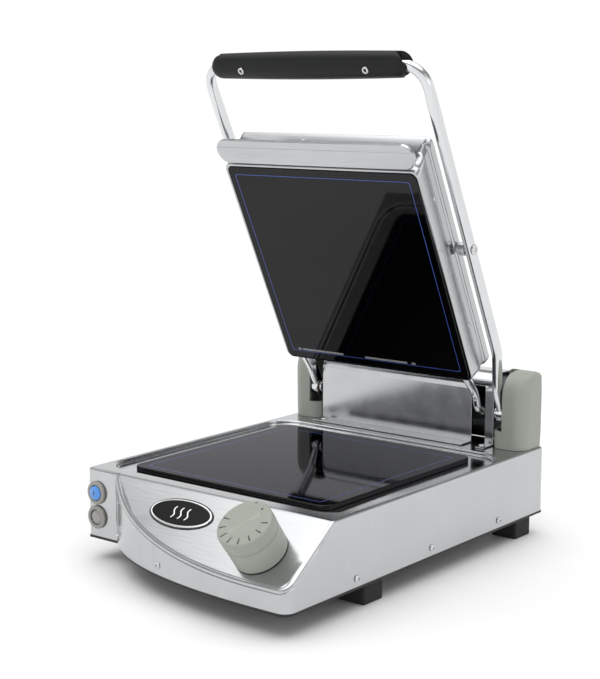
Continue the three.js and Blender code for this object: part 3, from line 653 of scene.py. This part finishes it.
def make_base_shell():
    rings = wall_rings()
    walls = skin(rings, closed=False, loop=True)
    rolled = [[(x, y, DECK + z) for x, y in tray_outline(g)]
              for g, z in arc(TRAY_ROLL, -TRAY_ROLL, TRAY_ROLL, 90, 180, 6)]
    rolled.append([(x, y, z - 0.6) for x, y, z in rolled[-1]])
    edge = [Vector(ring[-1][:2]) for ring in rings]
    hole = [Vector(point[:2]) for point in rolled[0]]
    parts = [walls, skin(rolled), casing_top(edge, hole)]
    build("casing_shell", parts, "sheet", "base", ["base_shell"], sharp=50)


def inside(point, polygon):
    """Whether a point is inside a polygon, by counting the edges to its right."""
    odd = False
    for a, b in zip(polygon, polygon[1:] + polygon[:1]):
        if (a.y > point.y) != (b.y > point.y):
            if point.x < (b.x - a.x) * (point.y - a.y) / (b.y - a.y) + a.x:
                odd = not odd
    return odd


def make_tray():
    """The pressed gutter: its wall, a fillet, its floor and the window under the glass."""
    fillet, clear, window = 2.2, 0.3, 118
    side = [(-clear, -1.5)]
    side += [(g - clear, z) for g, z in arc(-fillet, fillet - TRAY_DEPTH, fillet, 0, -90, 6)]
    rings = [[(x, y, DECK + z) for x, y in tray_outline(g)] for g, z in side]
    for half, z in ((window + 1, -TRAY_DEPTH), (window, -TRAY_DEPTH - 1)):
        rings.append([(x, y, DECK + z) for x, y in rounded_rect(
            -half, GLASS_MIDDLE - half, half, GLASS_MIDDLE + half, 6)])
    build("pressed_tray", [skin(rings)], "deck_tray", "base", ["gutter_tray"])


def glass_plate(half, middle, corner, bottom, top):
    """A flat square plate with the edge of its face, at top, rounded."""
    bevel = GLASS_BEVEL
    rings = []
    side = [(0.4, bottom), (0, bottom + math.copysign(0.4, top - bottom))]
    sign = math.copysign(1, top - bottom)
    side += [(bevel - bevel * math.cos(a), top - sign * bevel * (1 - math.sin(a)))
             for a in (math.radians(18 * i) for i in range(6))]
    for inset, z in side:
        h = half - inset
        rings.append([(x, y, z) for x, y in rounded_rect(-h, middle - h, h, middle + h, corner - inset)])
    return skin(rings, start=True, end=True)


def printed_square(half, middle, width, z, lift):
    """A thin printed line round a square."""
    rings = []
    for h, height in ((half, z), (half, z + lift), (half - width, z + lift), (half - width, z)):
        rings.append([(x, y, height) for x, y in rounded_rect(-h, middle - h, h, middle + h, 3)])
    return skin(rings, loop=True)


PRINT_HALF = 117
PRINT_WIDTH = 0.8
PRINT_LIFT = 0.05
PRINT_FORWARD = 4  # the lower line is this far in front of its glass's middle
MARK_BACK, MARK_FRONT = -80.6, -83
MARKS = ((-108, -103), (-101, -42), (-11, 47), (53, 58))  # ends of the printed bars


def make_glasses():
    lower = glass_plate(GLASS_HALF, GLASS_MIDDLE, GLASS_CORNER, glass_low.z, glass_high.z)
    build("lower_glass_plate", [lower], "glass", "base", ["lower_glass"])
    middle = GLASS_MIDDLE - PRINT_FORWARD
    line = printed_square(PRINT_HALF, middle, PRINT_WIDTH, glass_high.z, PRINT_LIFT)
    build("lower_zone_line", [line], "blue_print", "base")
    back_face = LID_GLASS + GLASS_THICK
    upper = glass_plate(LID_GLASS_HALF, LID_GLASS_MIDDLE, LID_GLASS_CORNER, back_face, LID_GLASS)
    build("upper_glass_plate", [upper], "glass", "upper_plate", ["upper_glass"], LID)
    line = printed_square(PRINT_HALF, LID_GLASS_MIDDLE, PRINT_WIDTH, LID_GLASS, -PRINT_LIFT)
    build("upper_zone_line", [line], "blue_print", "upper_plate", place=LID)
    marks = [slab(x0, MARK_FRONT, LID_GLASS, x1, MARK_BACK, LID_GLASS - PRINT_LIFT) for x0, x1 in MARKS]
    build("upper_zone_marks", marks, "grey_print", "upper_plate", place=LID)


# ------------------------------------------------------------ controls


def flat_front(x, drop):
    """A place on the casing's flat front with Z pointing out of it."""
    return Matrix.Translation((x, FRONT, DECK - drop)) @ Matrix.Rotation(math.pi / 2, 4, "X")


def make_lamp(name, drop, top, look, body, bezel, lens):
    """A round lens with a soft dome, its crown at top, in a round bezel."""
    place = flat_front(BUTTON_X, drop)
    sides, crown, rise = 64, 7.7, 2.2
    ring = [(8.3, -6), (8.3, 2.6), *arc(9.3, 2.6, 1.0, 180, 90, 5), *arc(11, 1.6, 1.6, 70, 0, 5),
            (12.4, 0.2), (9.6, 0.2), (9.6, -6)]
    bezel_ring = skin(turned_rings(ring, sides), loop=True)
    build(name + "_bezel_ring", [bezel_ring], "bezel", "base", [bezel], place)
    dome = [(crown, -6), (crown, top - rise)]
    dome += [(crown * math.cos(a), top - rise + rise * math.sin(a))
             for a in (math.radians(10 * i) for i in range(1, 9))]
    build(name + "_lens_dome", [lathe(dome, sides)], look, body, [lens], place)


def make_lamps():
    make_lamp("power", BUTTON_DROP, 5.5, "blue_lens", "power_button", "power_bezel", "power_button")
    make_lamp("heating_lamp", LAMP_DROP, 3.4, "grey_lens", "base", "heating_lamp_bezel", "heating_lamp_lens")
    mark = slab(-0.7, -2.2, 5.3, 0.7, 2.2, 5.62)
    place = flat_front(BUTTON_X, BUTTON_DROP)
    build("power_mark", [mark], "dial_print", "power_button", place=place)


def ovals(sizes):
    """Rings round Z from (half length, half height, level) of ovals."""
    return [[(a * math.cos(t), b * math.sin(t), z) for t in turn(72)] for a, b, z in sizes]


def make_badge():
    """An oval badge with a bright rim and a generic sign for heat: three rising waves."""
    rim = ovals([(39.8, 16.8, 0.3), (39.8, 16.8, 1.1), (39.4, 16.4, 1.7), (38.4, 15.4, 1.9),
                 (37.6, 14.7, 1.7), (37.4, 14.5, 0.6)])
    build("badge_rim", [skin(rim, start=True)], "polished", "base", ["badge_bezel"], BADGE)
    field = skin(ovals([(37.3, 14.4, 0.7), (37.3, 14.4, 1.0), (36.5, 13.6, 1.3)]), start=True, end=True)
    build("badge_field", [field], "badge_black", "base", ["badge_plate"], BADGE)
    gasket = ovals([(41.2, 18.2, 0.3), (41.2, 18.2, 0.7), (39.8, 16.8, 0.7), (39.8, 16.8, 0.3)])
    build("badge_gasket", [skin(gasket, loop=True)], "nylon", "base", place=BADGE)
    waves = []
    for middle in (-9, 0, 9):
        line = [Vector((middle + 1.7 * math.sin(t * 2 * math.pi), -7 + 14 * t, 1.4))
                for t in (i / 24 for i in range(25))]
        rings = sweep(line, lambda t: oval_section(0.9, 0.35), Vector((0, 0, 1)))
        waves.append(skin(rings, start=True, end=True))
    build("badge_heat_sign", waves, "polished", "base", place=BADGE)


def make_knob():
    """A turned knob with a groove under its cap, a shallow ring on its face and dial marks."""
    r, h, cap = KNOB_RADIUS, KNOB_HEIGHT, KNOB_HEIGHT - KNOB_CAP
    profile = [(r - 4, 4), (r - 4, 1), (r - 0.9, 1), (r - 0.5, 1.5), (r - 0.35, cap - 1.4),
               (r - 0.9, cap - 0.9), (r - 1.3, cap - 0.3), (r - 1.3, cap + 0.2), (r - 0.7, cap + 0.7),
               (r, cap + 1.3)]
    profile += arc(r - 2.6, h - 2.6, 2.6, 0, 90, 7)
    profile += [(r - 9.8, h), (r - 10.2, h - 0.25), (r - 10.6, h - 0.25), (r - 11.2, h), (0.05, h)]
    build("knob_shell", [lathe(profile, 128)], "knob", "knob", ["knob_body"], KNOB, sharp=60)
    marks = [(178 + 28 * i, 0.64, 0.90, 0.9) for i in range(8)]  # angle, ends and half width
    marks += [(94, 0.84, 0.92, 0.8), (65, 0.72, 0.80, 1.3)]
    parts = []
    for degrees, start, stop, half in marks:
        angle = math.radians(degrees)
        out = Vector((math.cos(angle), math.sin(angle), 0))
        side = Vector((-out.y, out.x, 0))
        ring = []
        for along, across in ((start, -0.5), (stop, -1), (stop, 1), (start, 0.5)):
            ring.append(out * along * r + side * across * half)
        parts.append(skin([[p + Vector((0, 0, z)) for p in ring] for z in (h - 0.2, h + 0.08)], end=True))
    build("knob_dial_marks", parts, "dial_print", "knob", place=KNOB)


def screw_parts(radius, height):
    """A domed screw head with a cross recess, standing on Z = 0."""
    dome = [(radius, 0), (radius, 0.35 * height)]
    dome += [(radius * math.cos(a), height * (0.35 + 0.65 * math.sin(a)))
             for a in (math.radians(12 * i) for i in range(1, 8))]
    arm, wide = radius * 0.55, radius * 0.14
    cutters = [slab(-arm, -wide, height * 0.4, arm, wide, height * 2),
               slab(-wide, -arm, height * 0.4, wide, arm, height * 2)]
    return carved(lathe(dome, 32), *cutters)


def make_screw(name, head, body, place, nodes=()):
    build(name, [head], "fastener", body, nodes, place)


def make_screws():
    """Screws of the casing's sides, the lid, the bowed skirt and the rear upright's foot."""
    head, small = screw_parts(3.6, 2), screw_parts(2.6, 1.5)
    outward = {side: Matrix.Rotation(side * math.pi / 2, 4, "Y") for side in (1, -1)}
    for side, word in ((1, "right"), (-1, "left")):
        for i in (1, 2, 3):
            node = f"side_screw_{i}_{word}"
            low, high = cad_corners(node)
            seat = (low + high) / 2
            seat.x = low.x if side > 0 else high.x
            place = Matrix.Translation(seat) @ outward[side] @ Matrix.Rotation(0.7 * i, 4, "Z")
            make_screw(node + "_head", head, "base", place, [node])
    lid_seats = [(side, y, z) for side in (1, -1) for y, z in ((-284.6, -18), (-129.3, -16))]
    for i, (side, y, z) in enumerate(lid_seats):
        place = LID @ Matrix.Translation((side * (LID_HALF - 0.2), y, z)) @ outward[side]
        make_screw(f"lid_side_screw_{i + 1}", small, "upper_plate", place)
    lean = math.atan2(LID_SLANT, LID_TOP - LID_RIM)
    forward = Matrix.Rotation(math.pi / 2 - lean, 4, "X")
    place = LID @ Matrix.Translation((-34, LID_FRONT + 5.2, -4)) @ forward
    make_screw("lid_front_screw", small, "upper_plate", place)
    upward = Matrix.Rotation(math.pi / 2, 4, "X")
    for i, (x, drop) in enumerate(((-119, 67), (-6, 63.5))):
        at, normal = casing_spot(x)
        facing = Matrix.Rotation(math.atan2(normal.x, -normal.y), 4, "Z") @ upward
        place = Matrix.Translation((at.x, at.y, DECK - drop)) @ facing
        make_screw(f"skirt_screw_{i + 1}", head, "base", place)
    upright_front = cad_corners("rear_upright")[0].y
    for i, x in enumerate((-111, 113)):
        place = Matrix.Translation((x, upright_front + 10, DECK + 1.8))
        make_screw(f"upright_screw_{i + 1}", head, "base", place)


def casing_spot(x):
    """The point of the bowed skirt nearest to x, and its outward normal."""
    front = [(at, normal) for at, normal in casing_outline() if normal.y <= 0]
    return min(front, key=lambda pair: abs(pair[0].x - x))


# ------------------------------------------------------------ back of the base


def cover_hull(low, high, side, inset):
    """The outer form of a hinge cover, drawn in from all sides by inset. Its top rolls forward
    in a large arc, and its outer side swells by 1 mm at mid height."""
    inner, outer = sorted((abs(low.x), abs(high.x)))
    bottom, top = low.z, high.z - inset
    crown, edge, tail = 26 - inset, 5 - min(inset, 4), 6 - min(inset, 5)
    heights = [bottom - 2 * inset, bottom + 1, bottom + 20, top - crown]
    heights += [top - crown + crown * math.sin(math.radians(a))
                for a in (12, 24, 36, 46, 55, 63, 70, 76, 82, 86, 89.5)]

    def round_in(z, radius):
        rise = max(z - (top - radius), 0)
        return radius - math.sqrt(max(radius**2 - rise**2, 0))

    rings = []
    for z in heights:
        swell = math.sin(math.pi * min(max((z - bottom) / (top - bottom), 0), 1))
        x0 = inner + inset + round_in(z, edge)
        x1 = outer - inset - 1.0 + swell - round_in(z, edge)
        y0 = low.y + inset + round_in(z, crown)
        y1 = high.y - inset - round_in(z, tail)
        room = 0.48 * min(x1 - x0, y1 - y0)
        a, b, c, d = min(16, room), min(6, room), min(3, room), min(12, room)
        ring = (arc(x1 - a, y0 + a, a, -90, 0, 8) + arc(x1 - b, y1 - b, b, 0, 90, 6)
                + arc(x0 + c, y1 - c, c, 90, 180, 4) + arc(x0 + d, y0 + d, d, 180, 270, 8))
        rings.append([(side * x, y, z) for x, y in ring])
    return skin(rings, start=True, end=True)


def make_cover(side, word):
    """A hinge cover: a 2 mm shell, open below and slotted on its inner side for the arm."""
    node = "hinge_cover_" + word
    low, high = cad_corners(node)
    inner = min(abs(low.x), abs(high.x))
    slot_box = slab(side * (inner - 2), low.y - 2, low.z + SLOT_SILL, side * ARM_SLOT, high.y - 6, high.z + 5)
    hulls = [cover_hull(low, high, side, inset) for inset in (0, 2)]
    build("hinge_housing_" + word, [carved(*hulls, slot_box)], "cover", "base", [node])


# ------------------------------------------------------------ lid


def make_lid_shell():
    """The folded lid casing: a flat band beside the glass, a shallow fold, and a rounded top."""
    edge, top_half, top_step = 2.5, 128.2, 1.2
    levels = [  # half width, step of the front face, height
        (126.6, 3.6, -33.0), (126.6, 3.6, -34.6), (127.2, 3.0, LID_RIM), (128.6, 1.6, LID_RIM),
        (129, 1.2, -34.5), (129, 1.2, -28.5), (129, 1.2, -28.1), (129, 0, -27.6), (129, 0, -24.2),
        (129, 0, -23.8), (129, 0, -23.3), (129, 0, -16.5), (128.6, 0, -15.5),
        (126.6, 0, -13.5), (126.2, 0, -12.5), (126.2, 0, -6), (126.6, 0, -5),
        (127.8, 0, -3.8), (128.2, 0, -2.8), (128.2, 0, 0.5),
    ]
    lean = LID_SLANT / (LID_TOP - LID_RIM)
    outlines = []
    for half, step, z in levels:
        outlines.append((half, LID_FRONT + lean * (LID_TOP - z) + step, LID_BACK, z))
    for out, rise in arc(0, 0, edge, 0, 90, 7):
        inset = edge - out
        front = LID_FRONT + top_step + inset
        outlines.append((top_half - inset, front, LID_BACK - inset, LID_TOP - edge + rise))
    rings = [[(x, y, z) for x, y in rounded_rect(-half, front, half, back, LID_CORNER)]
             for half, front, back, z in outlines]
    shell = skin(rings, end=True)
    build("lid_casing", [shell], "sheet", "upper_plate", ["lid_shell"], LID, sharp=50)


def make_lip():
    """The flat bar along the lid's front edge, with a fold line along it and round ends."""
    low, high = LIP_FRONT, LIP_BACK
    half, corner, soft = LID_HALF + 2, (high - low) / 2 - 0.2, 1.2
    under, over = LID_GLASS - 1, LID_GLASS + 4
    angles = [math.radians(15 * i) for i in range(7)]
    side = [(soft * (1 - math.sin(a)), under + soft * (1 - math.cos(a))) for a in angles]
    side += [(soft * (1 - math.cos(a)), over - soft * (1 - math.sin(a))) for a in angles]
    rings = [[(x, y, z) for x, y in rounded_rect(g - half, low + g, half - g, high - g, corner - g, 12)]
             for g, z in side]
    bar = skin(rings, start=True, end=True)
    fold_y = low + LIP_FOLD
    fold = slab(-half - 1, fold_y, under - 1, half + 1, fold_y + 0.5, under + 0.35)
    build("lid_front_bar", [carved(bar, fold)], "sheet", "upper_plate", ["front_lip"], LID)


def arm_section(y):
    """The tube's section: a flat rounded oval along the arms that turns round before the grip."""
    sides = 28
    share = min(max((GRIP_Y + 45 - y) / 40, 0), 1)
    across = ARM_ACROSS + (TUBE_ACROSS - ARM_ACROSS) * share
    deep = ARM_DEEP + (TUBE_DEEP - ARM_DEEP) * share
    power = 0.55 + 0.45 * share
    ring = []
    for t in turn(sides):
        c, s = math.cos(t), math.sin(t)
        ring.append((across * math.copysign(abs(c) ** power, c), deep * math.copysign(abs(s) ** power, s)))
    return ring


def make_arm():
    """The bent tube, from one hinge eye through the grip to the other, with both eyes."""
    corners = [(ARM_ROOT, 2, 0), (ARM_ROOT, -30, 40), (ARM_X, -84, 40), (ARM_X, GRIP_Y, ARM_BEND),
               (0, GRIP_Y, 0)]
    half = rounded_path(corners, 14)
    line = half[:-1] + [Vector((0, GRIP_Y))] + [Vector((-p.x, p.y)) for p in reversed(half[:-1])]
    path = []
    for a, b in zip(line, line[1:]):
        pieces = max(int((b - a).length / 14), 1)
        path += [a.lerp(b, i / pieces).to_3d() for i in range(pieces)]
    path.append(line[-1].to_3d())
    last = len(path) - 1
    rings = sweep(path, lambda t: arm_section(path[round(t * last)].y), Vector((0, 0, 1)))
    parts = [skin(rings, start=True, end=True)]
    eye = [(6.6, -4), (9.5, -4), (10, -3.5), (10, 3.5), (9.5, 4), (6.6, 4)]
    for side in (1, -1):
        rings = [[(side * ARM_ROOT + z, x, y) for x, y, z in ring] for ring in turned_rings(eye, 40)]
        parts.append(skin(rings, loop=True))
    build("arm_bar", parts, "polished", "arm", ["arm_tube"], LID, sharp=60)


def make_grip_half(face, name, node):
    """One half of the grip: a half oval bar, barrel shaped, whose split edge opens into a V at
    each end. face is -1 towards the plates and 1 away from them."""
    stations = 48
    rings = []
    for i in range(stations + 1):
        u = -1 + 2 * i / stations
        x = GRIP_HALF * math.copysign(1 - (1 - abs(u)) ** 1.6, u)
        to_end = GRIP_HALF - abs(x)
        barrel = 0.90 + 0.10 * math.cos(math.pi / 2 * x / GRIP_HALF)
        nose = math.sqrt(max(1 - ((9 - min(to_end, 9)) / 10) ** 2, 0))
        high, deep = GRIP_HIGH * barrel * nose, GRIP_DEEP * barrel * (0.35 + 0.65 * nose)
        gap = 0.12 + 8.0 * max(1 - to_end / 12, 0)
        gap = min(gap, deep * 0.92)
        start = math.degrees(math.asin(gap / deep))
        ring = [(x, GRIP_Y + high * math.cos(a), face * deep * math.sin(a))
                for a in (math.radians(start + (180 - 2 * start) * k / 22) for k in range(23))]
        rings.append(ring)
    half = skin(rings, start=True, end=True)
    build(name, [half], "grip", "arm", [node], LID, sharp=60)


def make_grip():
    make_grip_half(-1, "grip_front_half", "grip_front")
    make_grip_half(1, "grip_back_half", "grip_back")
    ring = [(0.05, -0.6), (1.5, -0.6), (1.7, 0.8), (2.2, 1.3), (3.2, 1.3), (3.7, 0.9), (3.9, 0.2),
            (3.9, -1.5)]
    facing = Matrix.Rotation(math.pi, 4, "X")
    for side, word in ((1, "right"), (-1, "left")):
        place = LID @ Matrix.Translation((side * GRIP_SCREW_X, GRIP_Y, -13.0)) @ facing
        build("grip_socket_screw_" + word, [lathe(ring, 36)], "fastener", "arm",
              ["grip_screw_" + word], place)


def make_conduit():
    """The bright lead conduit, from the hinge line to the lid's back wall, with its six-sided nut."""
    cosine, sine = math.cos(LID_OPEN), math.sin(LID_OPEN)
    points = [Vector((LEAD_X, y * cosine - z * sine, y * sine + z * cosine))
              for y, z in ((3, -2), (-6, 4), (-10, 15), (-16, 26))]
    points += [Vector((LEAD_X, LID_BACK + reach, LEAD_Z)) for reach in (12, 2.5)]
    section = oval_section(LEAD_RADIUS, LEAD_RADIUS, 24)
    rings = sweep(smooth_curve(points, 8), lambda t: section, Vector((1, 0, 0)))
    tube = skin(rings, start=True, end=True)
    r = LEAD_RADIUS
    nut = [(r, 0), (6.6, 0), (7, 0.4), (7, 3.4), (6.4, 4), (r, 4)]
    rings = [[(LEAD_X + x, LID_BACK + 2.6 + z, LEAD_Z + y) for x, y, z in ring]
             for ring in turned_rings(nut, 6)]
    parts = [tube, skin(rings, loop=True)]
    build("lead_tube", parts, "polished", "arm", ["lead_conduit"], LID)


def make_pivots():
    """The bolts the upper plate hangs on, each with a spacer and a low head outside the arm."""
    profile = [(4, 121), (4, 129.8), (6.6, 130), (7, 130.4), (7, 138), (6.6, 138.4), (4, 138.5), (4, 147.7),
               (5.6, 147.9), (5.8, 148.4), (5, 149.2), (2.4, 149.5), (2.2, 148.9), (0.05, 148.9)]
    for side, word in ((1, "right"), (-1, "left")):
        place = LID @ Matrix.Translation((0, PIVOT_Y, 0)) @ Matrix.Rotation(side * math.pi / 2, 4, "Y")
        build("pivot_stud_" + word, [lathe(profile, 40)], "fastener", "arm",
              ["pivot_bolt_" + word], place)


# ------------------------------------------------------------ CAD nodes, rounded or kept

FINISHED = {  # CAD nodes shown with rounded edges: look, slot, edge radius
    "floor_plate": ("black_plate", "black_plate", 0.5),
    "cable_gland": ("nylon", "black_fitting", 0.6),
    "thermostat_body": ("terminal", "terminal_plastic", 0.8),
    "terminal_block": ("terminal", "terminal_plastic", 0.8),
}
for end in ("front", "rear"):
    for word in ("right", "left"):
        FINISHED[f"foot_{end}_{word}"] = ("rubber", "foot_rubber", 1.2)
for word in ("right", "left"):
    FINISHED["hinge_bracket_" + word] = ("inner_steel", "inner_steel", 0.4)
    FINISHED["hinge_pin_" + word] = ("fastener", "fastener_steel", 0.5)

KEPT = {  # pieces inside the machine, kept as the CAD made them
    "lower_heater_pan": "inner_steel", "upper_heater_pan": "inner_steel",
    "heater_rail_right": "inner_steel", "heater_rail_left": "inner_steel",
    "torsion_spring_right": "inner_steel", "torsion_spring_left": "inner_steel",
    "lower_element": "heater", "upper_element": "heater",
    "lower_insulation": "wool", "upper_insulation": "wool",
    "knob_shaft": "brass", "hinge_bush_right": "bronze", "hinge_bush_left": "bronze",
}


def finish_cad_nodes():
    """Finer copies of the nodes in FINISHED, and finishes for the nodes in KEPT."""
    for node, (look, slot, width) in FINISHED.items():
        refined(node, look, width)
    for node, look in KEPT.items():
        mesh = frame["nodes"][node].data
        mesh.materials.clear()
        mesh.materials.append(LOOKS[look])


# ------------------------------------------------------------ the scene

bpy.context.scene.view_settings.view_transform = "Standard"
add_camera()
add_studio()
make_base_shell()
make_tray()
make_glasses()
make_lamps()
make_badge()
make_knob()
make_screws()
make_cover(1, "right")
make_cover(-1, "left")
refined("rear_upright", "deck_tray", 0.5)
make_lid_shell()
make_lip()
make_arm()
make_grip()
make_conduit()
make_pivots()
finish_cad_nodes()
